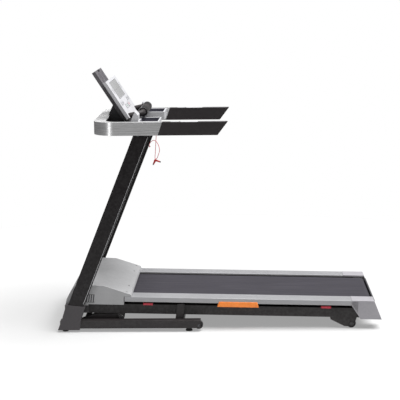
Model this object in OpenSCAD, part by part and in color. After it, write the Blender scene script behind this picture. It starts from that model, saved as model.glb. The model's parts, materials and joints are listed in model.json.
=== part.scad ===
// Folding treadmill with a powered incline: base, uprights, console and running deck.
// +Z up, +X towards the rear of the deck, Y across. Origin on the floor at mid length.

/* [Overall] */
// Overall length of the machine
total_len = 1700; // [1690:1:1710]
// Outer width of the handrail and of the base covers
total_w = 800; // [798:1:804]

/* [Base] */
// Width of a base side tube
base_tube_w = 54; // [50:1:56]
// Height of a base side tube
base_tube_h = 40; // [38:1:41]
// Gap between the floor and the base tubes
ground_gap = 19; // [18:1:20]
// Rear end of the base tubes
base_rear_x = -100; // [-110:1:-90]
// Radius of a transport wheel
transport_r = 23; // [20:1:24]

/* [Uprights] */
// Lean of the uprights from vertical
upright_lean = 22; // [21.5:0.1:22.4]
// Depth of an upright, measured across its slope
upright_depth = 80; // [74:1:84]
// Width of an upright
upright_w = 32; // [28:1:32]

/* [Handrail] */
// Underside of the handrail
rail_z = 1036; // [1034:1:1040]
// Height of the handrail band
rail_h = 68; // [64:1:70]
// Width of the handrail band
rail_w = 42; // [40:1:42]
// Rear tip of the grips at the top
grip_tip_x = 51; // [20:1:70]

/* [Console] */
// Lean of the console from vertical
console_lean = 32.6; // [32:0.1:33]
// Width of the console's face
face_w = 500; // [480:5:520]
// Width of the tablet rest behind the face
rest_w = 300; // [280:5:320]

/* [Deck] */
// Slope of the deck when it is down, front end up
deck_slope = 1.3; // [1.2:0.05:1.4]
// Height of the foot rails above the floor at mid length
deck_z = 168; // [167:1:169]
// Width over the foot rails
deck_w = 708; // [700:1:708]
// Width of the running belt
belt_w = 494; // [470:2:494]
// Radius of the rollers
roller_r = 24; // [22:1:24]
// Radius of a rear wheel
rear_wheel_r = 24; // [22:1:24]

/* [Hidden] */
$fn = 64;
half_len = total_len / 2;
half_w = total_w / 2;
wall = 2.5;
clear = 0.4;

// Base
tube_out = half_w - 6;
tube_in = tube_out - base_tube_w;
tube_top = ground_gap + base_tube_h;
base_front_x = -838;
front_bar_x = -630;
rear_bar_x = -211;
bar_w = 42;
front_bar_top = 46;
front_foot_x = -813;
rear_foot_x = -161;
transport_x = -110;
transport_y = tube_in + base_tube_w / 2;
transport_w = 22;

// Fold pivot, where the lift frame turns on the base
fold_x = -765;
fold_z = 40;
fold_pin_r = 9;
arm_in = 300;
arm_w = 25;
// Pivot between the lift frame and the deck
hinge_x = -521;
hinge_z = 67;
hinge_pin_r = 6;

// Uprights
upright_top_x = -391;
upright_out = half_w - 6;
upright_top_z = rail_z + 26;
upright_dx = tan(upright_lean);
upright_half = upright_depth / 2 / cos(upright_lean);
top_bolt_z = rail_z + 14;
low_bolt_z = 190;

// Handrail
rail_in = half_w - rail_w;
rail_front_x = -645;
rail_corner_r = 120;
rail_top = rail_z + rail_h;
rail_slant = 24;
grip_start_x = -284;
quick_x0 = -242;
quick_x1 = -198;

// Console
panel_x = -458;
panel_z = 1107;
face_t = 18;
face_low = 6;
face_high = 230;
shell_t = 32;
rest_high = 307;
console_floor = rail_z + 4;
slab_top = rail_z + 24;
bar_x = -398;
bar_z = 1134;
bar_r = 24;
leg_r = 15;
leg_y = 205;
key_y = -200;

// Console keys: name, place across, place up the face, width, height
key_w = 46;
key_h = 20;
key_proud = 3;
key_rows = [62, 90];

// Deck, in its own frame: x along the slope, z = 0 at the top of the foot rails
deck_half = deck_w / 2;
frame_top = -45;
frame_h = 50;
frame_out = 328;
frame_in = 298;
frame_low = frame_top - frame_h;
belt_top = -12;
belt_t = 2;
roller_z = belt_top - belt_t - roller_r;
front_roller_x = -575;
rear_roller_x = 785;
rail_edge = belt_w / 2 + 5;
board_front = -529;
board_half = 320;
hood_half = deck_half - 2;
cap_low = -98;
cap_tip_x = (half_len - cap_low * sin(deck_slope)) / cos(deck_slope);
foot_rail_front = -500;
foot_rail_rear = 692;
motor_x = -715;
motor_z = -2;
wheel_x = 693;
wheel_y = 313;

// Gas strut, lying between the base and the deck
strut_x = -172;
strut_z = 46;
strut_end_x = 300;
strut_r = 12;
rod_r = 5;

// Incline actuator, from the deck down to the lift frame
act_x = -600;
act_z = 200;
act_y = 120;
act_end_x = -705;
act_end_z = 72;
act_len = sqrt(pow(act_end_x - act_x, 2) + pow(act_end_z - act_z, 2));
act_tilt = atan2(act_x - act_end_x, act_z - act_end_z);

charcoal = [0.16, 0.15, 0.16];
black = [0.05, 0.05, 0.055];
silver = [0.74, 0.74, 0.76];
grey = [0.5, 0.5, 0.52];
steel = [0.7, 0.7, 0.72];
red = [0.75, 0.05, 0.07];
orange = [0.93, 0.45, 0.12];

// ---- helpers ----

// Parts are drawn on the runner's left, which is -Y, and mirrored to the right
module mirrored() { mirror([0, 1, 0]) children(); }
module both_sides() { children(); mirrored() children(); }

// A side profile in X and Z, from y0 to y1 (y1 > y0)
module side_plate(points, y0, y1) {
    translate([0, y1, 0])
        rotate([90, 0, 0])
            linear_extrude(y1 - y0)
                polygon(points);
}

// A box between two corners
module box(a, b) {
    translate(a) cube(b - a);
}

// A cylinder along Y from y0 to y1
module rod_y(x, z, r, y0, y1) {
    translate([x, y1, z])
        rotate([90, 0, 0])
            cylinder(r = r, h = y1 - y0);
}

module ring_y(x, z, r_out, r_in, y0, y1) {
    difference() {
        rod_y(x, z, r_out, y0, y1);
        rod_y(x, z, r_in, y0 - 1, y1 + 1);
    }
}

module on_deck() {
    translate([0, 0, deck_z])
        rotate([0, deck_slope, 0])
            children();
}

// Console frame: x out of the face, z up the face
module on_panel() {
    translate([panel_x, 0, panel_z])
        rotate([0, -console_lean, 0])
            children();
}

function upright_mid(z) = upright_top_x + (z - rail_z) * upright_dx;

// ---- base ----

module base_side_tube() {
    difference() {
        box([base_front_x, -tube_out, ground_gap], [base_rear_x, -tube_in, tube_top]);
        box([base_front_x + 2, -tube_out + wall, ground_gap + wall],
            [base_rear_x + 1, -tube_in - wall, tube_top - wall]);
        // slot in the floor of the tube for the transport wheel
        box([transport_x - transport_r - 4, -transport_y - transport_w / 2 - 3, ground_gap - 1],
            [base_rear_x + 1, -transport_y + transport_w / 2 + 3, ground_gap + wall + 1]);
        rod_y(transport_x, 33, 5.05, -tube_out - 1, -tube_in + 1);
        for (x = [front_foot_x, rear_foot_x])
            translate([x, -transport_y, ground_gap - 1]) cylinder(r = 5, h = 5);
    }
}

module bar_across(x, top) {
    difference() {
        box([x - bar_w / 2, -tube_in, ground_gap], [x + bar_w / 2, tube_in, top]);
        box([x - bar_w / 2 + wall, -tube_in - 1, ground_gap + wall],
            [x + bar_w / 2 - wall, tube_in + 1, top - wall]);
    }
}

// Plate that carries the fold shaft, welded to the inside of a side tube
module fold_ear() {
    difference() {
        side_plate([[-795, 22], [-735, 22], [-735, 58], [-795, 58]], -tube_in, -tube_in + 7);
        rod_y(fold_x, fold_z, fold_pin_r + 0.06, -tube_in - 1, -tube_in + 9);
    }
}

// Upright tab that stands beside the deck frame
module side_tab() {
    side_plate([[-233, tube_top], [-191, tube_top], [-184, 138], [-222, 138]], -tube_in - 8, -tube_in - 2);
}

module strut_ears() {
    both_sides()
        difference() {
            side_plate([[-191, 28], [-160, 36], [-160, 56], [-191, 58]], -17, -11);
            rod_y(strut_x, strut_z, 5.06, -18, -10);
        }
}

module base_frame() {
    color(charcoal) {
        both_sides() {
            base_side_tube();
            fold_ear();
            side_tab();
        }
        bar_across(front_bar_x, front_bar_top);
        bar_across(rear_bar_x, tube_top);
        strut_ears();
    }
}

module foot(x, r) {
    translate([x, -transport_y, 0]) {
        cylinder(r = r, h = 8);
        translate([0, 0, 8]) cylinder(r = r * 0.8, h = 8);
        translate([0, 0, 16]) cylinder(r = 4.9, h = 20);
    }
}

module base_feet() {
    color(black)
        both_sides() {
            foot(front_foot_x, 16);
            foot(rear_foot_x, 18);
        }
}

// Moulded cover over the joint of upright and base
module base_cover() {
    color([0.26, 0.24, 0.26])
        difference() {
            side_plate([[-half_len, 12], [-734, 12], [-727, 66], [-717, 93], [-704, 136],
                        [-809, 147], [-810, 126], [-824, 80], [-839, 40]], -half_w, -half_w + 43);
            side_plate([[-844, 11], [-738, 11], [-731, 66], [-721, 93], [-709, 132],
                        [-804, 142], [-806, 126], [-820, 80], [-835, 40]], -half_w + 3.5, -half_w + 39.5);
            // way through for the base tube
            box([-841, -tube_out - 0.5, 11], [-700, -tube_in + 1, tube_top + 0.5]);
            upright_block(0.5);
        }
}

module base_cover_left() { base_cover(); }
module base_cover_right() { mirrored() base_cover(); }

// Solid envelope of an upright, grown by g on every side
module upright_block(g) {
    low = tube_top - g;
    high = upright_top_z + g;
    h = upright_half + g;
    side_plate([[upright_mid(low) - h, low], [upright_mid(low) + h, low],
                [upright_mid(high) + h, high], [upright_mid(high) - h, high]],
               -upright_out - g, -upright_out + upright_w + g);
}

module upright() {
    low = tube_top + 5;
    high = upright_top_z + 1;
    h = upright_half - wall;
    color(charcoal)
        difference() {
            upright_block(0);
            side_plate([[upright_mid(low) - h, low], [upright_mid(low) + h, low],
                        [upright_mid(high) + h, high], [upright_mid(high) - h, high]],
                       -upright_out + wall, -upright_out + upright_w - wall);
            for (z = [top_bolt_z, low_bolt_z])
                rod_y(upright_mid(z), z, 4.05, -upright_out + upright_w - 4, -upright_out + upright_w + 1);
        }
}

module upright_left() { upright(); }
module upright_right() { mirrored() upright(); }

module base_fasteners() {
    color(steel)
        both_sides() {
            // transport wheel axle, through both walls of the tube
            rod_y(transport_x, 33, 5, -tube_out, -tube_in + 3);
            rod_y(transport_x, 33, 8, -tube_in, -tube_in + 4);
            // bolts of the upright, from the inside
            for (z = [top_bolt_z, low_bolt_z])
                rod_y(upright_mid(z), z, 4, -upright_out + upright_w - wall, -upright_out + upright_w + 2.4);
        }
}

module transport_wheel() {
    color(black)
        difference() {
            rod_y(transport_x, 33, transport_r, -transport_y - transport_w / 2, -transport_y + transport_w / 2);
            rod_y(transport_x, 33, 5.06, -transport_y - transport_w, -transport_y + transport_w);
        }
}

module transport_wheel_left() { transport_wheel(); }
module transport_wheel_right() { mirrored() transport_wheel(); }

// ---- handrail ----

// Plan of a bar end: straight towards +X, round corners of radius r at the front
module round_front(x0, x1, half, r) {
    translate([x0 + r, -half]) square([x1 - x0 - r, 2 * half]);
    translate([x0, -half + r]) square([r + 1, 2 * half - 2 * r]);
    for (s = [-1, 1]) translate([x0 + r, s * (half - r)]) circle(r = r, $fn = 96);
}

// The U of the handrail seen from above, w thick in the arms, shrunk by g on every side
module rail_plan(g) {
    difference() {
        round_front(rail_front_x + g, 0, half_w - g, rail_corner_r - g);
        round_front(rail_front_x + 62 - g, 1, rail_in + g, 70 + g);
    }
}

// Everything behind the slanted end of the silver band, moved rearward by g
module behind_border(g) {
    side_plate([[grip_start_x - rail_slant + g, rail_z - 1], [200, rail_z - 1],
                [200, rail_top + 1], [grip_start_x + g, rail_top + 1]], -half_w - 1, half_w + 1);
}

module handrail_band() {
    color(silver)
        difference() {
            translate([0, 0, rail_z]) linear_extrude(rail_h) rail_plan(0);
            translate([0, 0, rail_z + 3]) linear_extrude(rail_h - 6) rail_plan(3);
            behind_border(0);
            both_sides() {
                upright_block(0.3);
                rod_y(upright_mid(top_bolt_z), top_bolt_z, 4.3, -rail_in - 5, -rail_in + 1);
            }
        }
}

// Soft grip that plugs into the end of the band
module grip() {
    color(black)
        difference() {
            union() {
                side_plate([[grip_start_x - rail_slant + clear, rail_z], [grip_tip_x - 52, rail_z],
                            [grip_tip_x, rail_top], [grip_start_x + clear, rail_top]], -half_w, -rail_in);
                box([grip_start_x - 62, -half_w + 3.3, rail_z + 3.3],
                    [grip_start_x + 4, -rail_in - 3.3, rail_top - 3.3]);
            }
            box([quick_x0, -half_w + 10, rail_top - 8], [quick_x1, -rail_in - 10, rail_top + 1]);
            upright_block(0.3);
        }
}

module grip_left() { grip(); }
module grip_right() { mirrored() grip(); }

module quick_key() {
    color(grey)
        box([quick_x0 + clear, -half_w + 10 + clear, rail_top - 6],
            [quick_x1 - clear, -rail_in - 10 - clear, rail_top + 2]);
}

module quick_key_left() { quick_key(); }
module quick_key_right() { mirrored() quick_key(); }

// ---- console ----

slab_rear_x = -345;

module console_base() {
    color(charcoal)
        difference() {
            union() {
                translate([0, 0, console_floor])
                    linear_extrude(slab_top - console_floor)
                        round_front(rail_front_x + 62 + clear, slab_rear_x, rail_in - clear, 70);
                // column that carries the console
                side_plate([[-582.6, slab_top - 1], [-582.6, 1120], [-559.5, 1171],
                            [-522.5, 1113], [-484.5, slab_top - 1]], -120, 120);
                box([-486, -138, slab_top - 1], [slab_rear_x - 20, 138, slab_top + 20]);
            }
            // hollow column and centre, open underneath
            side_plate([[-577.6, console_floor + 4], [-577.6, 1118], [-559.5, 1164],
                        [-527, 1112], [-491, console_floor + 4]], -116, 116);
            box([-478, -134, console_floor + 4], [slab_rear_x - 24, 134, slab_top + 16]);
            // bore of the safety key's socket
            translate([slab_rear_x - 20, key_y, slab_top - 10]) rotate([0, 90, 0]) cylinder(r = 8.2, h = 30);
        }
}

module tray() {
    color(silver) {
        difference() {
            box([-410, -rail_in + clear, slab_top + 0.2], [-302, -140, rail_top + 1]);
            box([-404, -rail_in + 6, slab_top + 5], [-310, -146, rail_top + 10]);
        }
        // raised wall between the tray and the console
        side_plate([[-450, slab_top + 0.2], [-450, 1106], [-428, 1154], [-410, 1134],
                    [-410, slab_top + 0.2]], -335, -236);
    }
}

module tray_left() { tray(); }
module tray_right() { mirrored() tray(); }

module console_shell() {
    color([0.36, 0.36, 0.38])
        on_panel()
            difference() {
                union() {
                    box([-face_t - shell_t, -rest_w / 2, 20], [-face_t - 0.2, rest_w / 2, face_high - 5]);
                    box([-face_t - shell_t, -rest_w / 2, face_high - 6], [-face_t - 12, rest_w / 2, rest_high]);
                }
                box([-face_t - shell_t + 3, -rest_w / 2 + 3, 23], [-face_t + 1, rest_w / 2 - 3, face_high - 10]);
                // notch in the top edge of the tablet rest
                box([-face_t - shell_t - 1, -45, rest_high - 14], [-face_t, 45, rest_high + 1]);
            }
}

module key_pocket(y, z, w, h) {
    box([-8, y - w / 2, z - h / 2], [1, y + w / 2, z + h / 2]);
}

module key_cap(y, z, w, h) {
    on_panel()
        box([-6, y - w / 2 + clear, z - h / 2 + clear], [key_proud, y + w / 2 - clear, z + h / 2 - clear]);
}

start_y = -60;
stop_y = 60;
incline_y = [-190, -130];
speed_y = [130, 190];
big_w = 90;
big_h = 26;

module console_face() {
    color(silver)
        on_panel()
            difference() {
                box([-face_t, -face_w / 2, face_low], [0, face_w / 2, face_high]);
                box([-2.2, -150, 116], [1, 150, 214]);
                for (y = [start_y, stop_y]) key_pocket(y, key_rows[0], big_w, big_h);
                for (y = concat(incline_y, speed_y)) key_pocket(y, key_rows[1], key_w, key_h);
            }
}

module display_lens() {
    color([0.7, 0.72, 0.72])
        on_panel()
            box([-2.2, -149.7, 116.3], [0.3, 149.7, 213.7]);
}

module control_board() {
    color([0.1, 0.35, 0.2])
        on_panel() {
            box([-42, -125, 60], [-40.4, 125, 205]);
            for (y = [-100, 100])
                for (z = [75, 190])
                    translate([-47, y, z]) rotate([0, 90, 0]) cylinder(r = 3, h = 5.2);
        }
}

module start_key() { color(silver) key_cap(start_y, key_rows[0], big_w, big_h); }
module stop_key() { color(silver) key_cap(stop_y, key_rows[0], big_w, big_h); }
module incline_down_key() { color(grey) key_cap(incline_y[0], key_rows[1], key_w, key_h); }
module incline_up_key() { color(grey) key_cap(incline_y[1], key_rows[1], key_w, key_h); }
module speed_down_key() { color(grey) key_cap(speed_y[0], key_rows[1], key_w, key_h); }
module speed_up_key() { color(grey) key_cap(speed_y[1], key_rows[1], key_w, key_h); }

bar_bend_r = 34;
bar_dip = 12.5;

// Hand bar with a straight grip, two bends and two legs that end on the console's face
module pulse_bar() {
    color(black)
        difference() {
            translate([bar_x, 0, bar_z])
                rotate([0, -bar_dip, 0]) {
                    rod_y(0, 0, bar_r, -leg_y + bar_bend_r + 8, leg_y - bar_bend_r - 8);
                    rod_y(0, 0, leg_r, -leg_y + bar_bend_r, leg_y - bar_bend_r);
                    both_sides() {
                        translate([-bar_bend_r, -leg_y + bar_bend_r, 0])
                            rotate([0, 0, -90])
                                rotate_extrude(angle = 90)
                                    translate([bar_bend_r, 0]) circle(r = leg_r);
                        translate([-110, -leg_y, 0])
                            rotate([0, 90, 0]) cylinder(r = leg_r, h = 110 - bar_bend_r);
                    }
                }
            on_panel() box([-200, -300, -100], [0.05, 300, 300]);
        }
}

// Metal plates let into the bar under the hands
module pulse_sensors() {
    color(steel)
        translate([bar_x, 0, bar_z])
            for (s = [-1, 1])
                for (a = [20, 200])
                    translate([0, s * 100 + 38, 0])
                        rotate([90, 0, 0])
                            rotate([0, 0, a])
                                rotate_extrude(angle = 110)
                                    translate([bar_r + 0.05, 0]) square([1.2, 76]);
}

// ---- safety key ----

module key_socket() {
    color(black)
        translate([slab_rear_x - 19, key_y, slab_top - 10])
            rotate([0, 90, 0])
                difference() {
                    union() {
                        cylinder(r = 8, h = 20);
                        translate([0, 0, 19.1]) cylinder(r = 9.5, h = 2.8);
                    }
                    translate([0, 0, 3]) cylinder(r = 5.2, h = 20);
                }
}

module safety_key() {
    color(red)
        translate([slab_rear_x - 15, key_y, slab_top - 10])
            rotate([0, 90, 0]) {
                cylinder(r = 5, h = 19);
                translate([0, 0, 18.6]) cylinder(r = 9, h = 9);
            }
}

cord_r = 1.5;
// Route of the safety cord: down from the key, through the clip's eye and up to its loose end
cord_route = [
    [-332, -200, 1041], [-329, -200, 1030], [-328, -200, 1010], [-330, -200, 980],
    [-332, -200, 950], [-334, -200, 920], [-336, -200, 900], [-334, -202, 890],
    [-326, -205, 892], [-318, -207, 910], [-311, -208, 935], [-315, -208, 960],
    [-326, -208, 980], [-340, -208, 989], [-354, -208, 982], [-365, -208, 966], [-362, -208, 956]
];

// Points on a smooth curve through the route, n to each stretch
function spline(p, i, t) =
    let (a = p[max(i - 1, 0)], b = p[i], c = p[i + 1], d = p[min(i + 2, len(p) - 1)])
    0.5 * (2 * b + (c - a) * t + (2 * a - 5 * b + 4 * c - d) * t * t + (3 * b - a - 3 * c + d) * t * t * t);
function smooth(p, n) = concat([for (i = [0:len(p) - 2]) for (k = [0:n - 1]) spline(p, i, k / n)], [p[len(p) - 1]]);
function unit(v) = v / norm(v);

// Tube of radius r swept along points that stay near one plane across Y
module tube(points, r, sides = 8) {
    n = len(points);
    rings = [for (i = [0:n - 1])
        let (along = unit(points[min(i + 1, n - 1)] - points[max(i - 1, 0)]),
             up = unit(cross(along, [0, 1, 0])),
             side = cross(up, along))
        for (k = [0:sides - 1]) points[i] + r * (cos(360 * k / sides) * up + sin(360 * k / sides) * side)];
    walls = [for (i = [0:n - 2]) for (k = [0:sides - 1])
        let (a = i * sides + k, b = i * sides + (k + 1) % sides) [a, b, b + sides, a + sides]];
    first = [for (k = [sides - 1:-1:0]) k];
    last = [for (k = [0:sides - 1]) (n - 1) * sides + k];
    polyhedron(points = rings, faces = concat([first], walls, [last]));
}

module safety_cord() {
    color(red) tube(smooth(cord_route, 3), cord_r);
}

// Clothes clip: a short body and two jaws
module safety_clip() {
    color(red)
        side_plate([[-340, 886], [-333, 887], [-308, 876], [-310, 870], [-331, 876], [-343, 858], [-348, 862]],
                   -205, -195);
}

// ---- lift frame and fold shaft ----

// Shaft that turns in the base when the deck is folded
module fold_shaft() {
    color(steel) {
        rod_y(fold_x, fold_z, fold_pin_r, -tube_in + 0.4, tube_in - 0.4);
        both_sides() ring_y(fold_x, fold_z, 14, fold_pin_r - 1, -tube_in + 7.4, -arm_in - arm_w - 0.4);
    }
}

module lift_arm() {
    difference() {
        union() {
            side_plate([[-781, 33], [-775, 25], [-752, 24], [-700, 34], [-652, 52], [hinge_x, 52], [hinge_x, 82],
                        [-662, 82], [-712, 63], [-733, 55], [-765, 55], [-777, 50]],
                       -arm_in - arm_w, -arm_in);
            rod_y(hinge_x, hinge_z, 15, -arm_in - arm_w, -arm_in);
        }
        rod_y(fold_x, fold_z, fold_pin_r + 0.06, -arm_in - arm_w - 1, -arm_in + 1);
        rod_y(hinge_x, hinge_z, hinge_pin_r + 0.06, -arm_in - arm_w - 1, -arm_in + 1);
    }
}

module lift_frame() {
    color(black)
        difference() {
            union() {
                both_sides() lift_arm();
                rod_y(act_end_x, 51, 14, -arm_in - 1, arm_in + 1);
                for (y = [act_y - 24, act_y + 18])
                    side_plate([[act_end_x - 12, 55], [act_end_x + 12, 55], [act_end_x + 10, 84], [act_end_x - 10, 84]],
                               y, y + 6);
            }
            // open seats for the actuator's lower pin
            for (y = [act_y - 25, act_y + 17])
                translate([act_end_x - 7, y, act_end_z - 6]) cube([14, 8, 30]);
        }
}

// Along the actuator: its own z runs from the upper pivot down to the lower one
module on_actuator() {
    translate([act_x, act_y, act_z])
        rotate([0, 180 + act_tilt, 0])
            children();
}

module incline_motor() {
    color([0.2, 0.2, 0.22]) {
        difference() {
            on_actuator() {
                cylinder(r = 16, h = act_len - 52);
            }
            on_actuator() translate([0, 0, 20]) cylinder(r = 10.06, h = act_len);
        }
        rod_y(act_x, act_z, 20, act_y - 20, act_y + 20);
        rod_y(act_x, act_z, 8, act_y - 28, act_y - 18);
        rod_y(act_x, act_z, 19, act_y + 40, act_y + 100);
        rod_y(act_x, act_z, 8, act_y + 18, act_y + 42);
    }
}

module incline_screw() {
    color(steel) {
        on_actuator() translate([0, 0, 24]) cylinder(r = 10, h = act_len - 26);
        rod_y(act_end_x, act_end_z, 5, act_y - 24, act_y + 24);
    }
}

// ---- gas strut ----

module gas_strut_cylinder() {
    color(black)
        difference() {
            union() {
                translate([strut_x + 19, 0, strut_z]) rotate([0, 90, 0]) cylinder(r = strut_r, h = 421);
                rod_y(strut_x, strut_z, 10, -9, 9);
                translate([strut_x, 0, strut_z]) rotate([0, 90, 0]) cylinder(r = 7, h = 20);
                rod_y(strut_x, strut_z, 5, -18, 18);
            }
            translate([strut_x + 24, 0, strut_z]) rotate([0, 90, 0]) cylinder(r = rod_r + 0.05, h = 440);
        }
}

module gas_strut_rod() {
    color(steel) {
        translate([strut_x + 30, 0, strut_z])
            rotate([0, 90, 0]) cylinder(r = rod_r, h = strut_end_x - strut_x - 30);
        rod_y(strut_end_x, strut_z, 5, -8, 8);
        rod_y(strut_end_x, strut_z, 4, -20, 20);
    }
}

// ---- deck ----

// Cross member of the deck frame, below the return run of the belt
module cross_bar(x, w = 40) {
    box([x - w / 2, -frame_in - 0.01, frame_low], [x + w / 2, frame_in + 0.01, -70]);
}

module deck_side_tube() {
    difference() {
        box([-780, -frame_out, frame_low], [742, -frame_in, frame_top]);
        box([-781, -frame_out + wall, frame_low + wall], [743, -frame_in - wall, frame_top - wall]);
    }
}

// Plate that carries a rear wheel
module wheel_ear(y) {
    difference() {
        side_plate([[583, 47], [656, 10], [682, 8], [704, 12], [712, 30], [722, 58.5], [583, 61.5]], y, y + 4);
        rod_y(wheel_x, rear_wheel_r, 5.06, y - 1, y + 5);
    }
}

module hinge_ear(y) {
    difference() {
        side_plate([[-541, 88], [-501, 87], [-506, 56], [-536, 56]], y, y + 5);
        rod_y(hinge_x, hinge_z, hinge_pin_r + 0.06, y - 1, y + 6);
    }
}

module actuator_ear(y) {
    difference() {
        side_plate([[-634, 122], [-614, 121], [-588, 190], [-588, 214], [-612, 214], [-618, 190]], y, y + 6);
        rod_y(act_x, act_z, 8.06, y - 1, y + 7);
    }
}

module deck_frame() {
    color(charcoal) {
        on_deck() {
            both_sides() deck_side_tube();
            for (x = [-470, -60, 300, 620]) cross_bar(x);
            cross_bar(-765, 24);
            difference() {
                box([-776, -frame_in - 0.01, -64], [-606, frame_in + 0.01, -60]);
                box([-706, act_y - 24, -70], [-600, act_y + 22, -50]);
                box([-650, -289, -70], [-600, -257, -50]);
            }
            // seats of the roller shafts
            both_sides()
                for (x = [front_roller_x, rear_roller_x - 60])
                    box([x - 16, -frame_in, -66], [x + 16, -frame_in + 6, roller_z - 8.2]);
        }
        both_sides() {
            wheel_ear(-wheel_y - 15);
            wheel_ear(-wheel_y + 11.5);
            hinge_ear(-arm_in - arm_w - 6);
            hinge_ear(-arm_in + 1);
        }
        actuator_ear(act_y - 29);
        actuator_ear(act_y + 27);
        // hook that rests on the upper pin of the gas strut
        both_sides() side_plate([[285, 68], [315, 67], [308, strut_z + 5.4], [292, strut_z + 5.4]], -19, -12);
    }
}

module deck_board() {
    color([0.35, 0.27, 0.2])
        on_deck()
            box([board_front, -board_half, belt_top - belt_t - 18.3], [752, board_half, belt_top - belt_t - 0.3]);
}

// Endless belt round both rollers
module belt_loop(x0, x1, r, half) {
    rod_y(x0, roller_z, r, -half, half);
    rod_y(x1, roller_z, r, -half, half);
    box([x0, -half, roller_z - r], [x1, half, roller_z + r]);
}

module running_belt() {
    color([0.12, 0.11, 0.13])
        on_deck()
            difference() {
                belt_loop(front_roller_x, rear_roller_x, roller_r + belt_t, belt_w / 2);
                belt_loop(front_roller_x, rear_roller_x, roller_r + 0.1, belt_w / 2 + 1);
            }
}

module foot_rail() {
    color(silver)
        on_deck()
            difference() {
                box([foot_rail_front, -deck_half, -26], [foot_rail_rear, -rail_edge, 0]);
                box([foot_rail_front - 1, -deck_half + 3, -27], [foot_rail_rear + 1, -rail_edge - 3, -3]);
                box([foot_rail_front - 1, -deck_half + 5, -27], [foot_rail_rear + 1, -rail_edge + 1, -9.5]);
            }
}

module foot_rail_left() { foot_rail(); }
module foot_rail_right() { mirrored() foot_rail(); }

module end_cap() {
    difference() {
        side_plate([[foot_rail_rear + 0.4, 1], [foot_rail_rear + 0.4, -26], [742, cap_low],
                    [cap_tip_x, cap_low], [811, 1]], -deck_half, -rail_edge);
        side_plate([[foot_rail_rear - 1, -3], [foot_rail_rear - 1, -26], [740, cap_low - 4],
                    [cap_tip_x - 5, cap_low - 1], [806, -3]], -deck_half + 3.5, -rail_edge - 3.5);
        // way in for the board, the belt's edge and the roller shaft
        box([690, -frame_out - 0.5, -70], [rear_roller_x + 27, -rail_edge + 1, belt_top + 3]);
        box([690, -frame_out - 0.5, cap_low - 1], [744, -rail_edge + 1, -40]);
    }
}

module end_caps() {
    color(grey) on_deck() both_sides() end_cap();
}

hood_side = [[-812, -50], [-806, -20], [-797, 0], [-780, 31], [-763, 52], [-700, 59], [-610, 57],
             [-467, 13], [-462, 1], [-503, 1], [-503, -44], [-690, -44], [-690, -50]];
hood_inner = [[-808, -60], [-802.5, -21], [-793.5, -2], [-777, 28], [-761.5, 48.3], [-700, 55.4],
              [-611, 53.5], [-480, 13.2], [-480, -1], [-506.5, -1], [-506.5, -60]];

module motor_hood() {
    color([0.55, 0.55, 0.57])
        on_deck()
            difference() {
                side_plate(hood_side, -hood_half, hood_half);
                side_plate(hood_inner, -hood_half + 3.5, hood_half - 3.5);
                // the belt runs in under the rear edge
                box([-510, -rail_edge - 2, -60], [-440, rail_edge + 2, 0.6]);
                // and the board under its rear wall
                box([-510, -board_half - 1, -60], [-500, board_half + 1, belt_top - 1]);
            }
}

skirt_half = frame_out + 6;

module hood_skirt() {
    color([0.22, 0.21, 0.22])
        on_deck()
            difference() {
                box([-812, -skirt_half, frame_low], [-690, skirt_half, -50.5]);
                box([-808, -frame_out - 0.4, frame_low - 1], [-689, frame_out + 0.4, -50]);
                box([-813, -252, -92], [-800, -208, -62]);
                box([-813, -194, -88], [-800, -166, -66]);
            }
}

module power_inlet() {
    color(black)
        on_deck() {
            difference() {
                box([-813.5, -254, -94], [-812.1, -206, -60]);
                box([-820, -246, -86], [-800, -214, -68]);
            }
            difference() {
                box([-812.2, -251.6, -91.6], [-786, -208.4, -62.4]);
                box([-820, -246, -86], [-790, -214, -68]);
            }
        }
}

module power_switch() {
    color(red)
        on_deck()
            intersection() {
                box([-816, -193.4, -84.6], [-800, -166.6, -69.4]);
                rod_y(-798, -77, 16.5, -194, -166);
            }
}

// ---- drive ----

module drive_motor() {
    color(black)
        on_deck()
            difference() {
                union() {
                    rod_y(motor_x, motor_z, 46, -218, 10);
                    box([motor_x - 38, -200, -59.9], [motor_x + 38, -10, motor_z - 10]);
                }
                rod_y(motor_x, motor_z, 8.06, -230, -150);
            }
}

module motor_rotor() {
    color(steel)
        on_deck() {
            rod_y(motor_x, motor_z, 8, -284, -155);
            rod_y(motor_x, motor_z, 50, -256, -228);
            rod_y(motor_x, motor_z, 14, -284, -262);
        }
}

roller_pulley_r = 38;

// Ribbed drive belt round the motor's pulley (radius r0) and the front roller's pulley (radius r1)
module strap(r0, r1, y0, y1) {
    translate([0, y1, 0])
        rotate([90, 0, 0])
            linear_extrude(y1 - y0)
                hull() {
                    translate([motor_x, motor_z]) circle(r = r0, $fn = 40);
                    translate([front_roller_x, roller_z]) circle(r = r1, $fn = 40);
                }
}

module drive_belt() {
    color(black)
        on_deck()
            difference() {
                strap(17, roller_pulley_r + 3, -282, -264);
                strap(14.2, roller_pulley_r + 0.2, -283, -263);
            }
}

module roller(x, pulley) {
    difference() {
        union() {
            rod_y(x, roller_z, roller_r, -258, 258);
            if (pulley) rod_y(x, roller_z, roller_pulley_r, -284, -262);
            if (pulley) rod_y(x, roller_z, 20, -285, -257);
        }
        rod_y(x, roller_z, 8.06, -300, 300);
    }
}

module front_roller() { color(steel) on_deck() roller(front_roller_x, true); }
module rear_roller() { color(steel) on_deck() roller(rear_roller_x, false); }

module motor_controller() {
    color([0.3, 0.3, 0.32])
        on_deck() {
            box([-775, 165, -59.9], [-650, 290, -18]);
            for (k = [0:8]) box([-770 + k * 14, 170, -18.5], [-765 + k * 14, 285, -6]);
        }
}

// ---- cushions, wheels and fasteners of the deck ----

module cushion(x0, x1, y_out, low, high) {
    box([x0, -y_out, low], [x1, -frame_in - 2, high]);
}

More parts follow.
